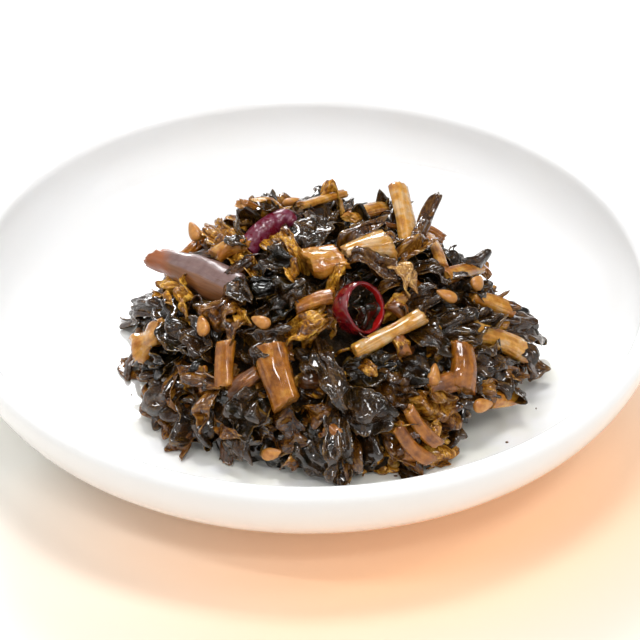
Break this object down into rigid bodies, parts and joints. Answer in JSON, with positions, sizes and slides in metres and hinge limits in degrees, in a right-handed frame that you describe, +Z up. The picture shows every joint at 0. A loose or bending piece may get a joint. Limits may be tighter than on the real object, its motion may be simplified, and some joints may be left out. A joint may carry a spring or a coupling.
{
  "type": "small dish of stir-fried pickled greens",
  "caption": "Shallow round white porcelain dish holding a mound of chopped stir-fried pickled greens with sesame seeds, a ring and a strip of red chilli.",
  "frame": {"origin": "on the table under the middle of the dish, at the underside of its foot", "axes": "+Z up, +X to the right of the mound as seen from its front, -Y towards the front, where long leaves droop on to the dish"},
  "size_m": [0.098, 0.098, 0.0268],
  "materials": {
    "glaze": "smooth white glaze, glossy",
    "greens": "cooked leaves and stalks, wet with oil",
    "stalk": "amber cooked stalk, wet with oil",
    "seed": "toasted sesame seed, a little oily",
    "purple_skin": "brown stalk with a lilac-grey skin, oily",
    "chilli": "wet deep red skin",
    "dark_chilli": "wet purple-red skin"
  },
  "bodies": {
    "root": {"dish": "glaze", "greens_mound": "greens", "purple_stalk": "purple_skin", "chilli_ring": "chilli", "chilli_strip": "dark_chilli"}
  },
  "joints": []
}
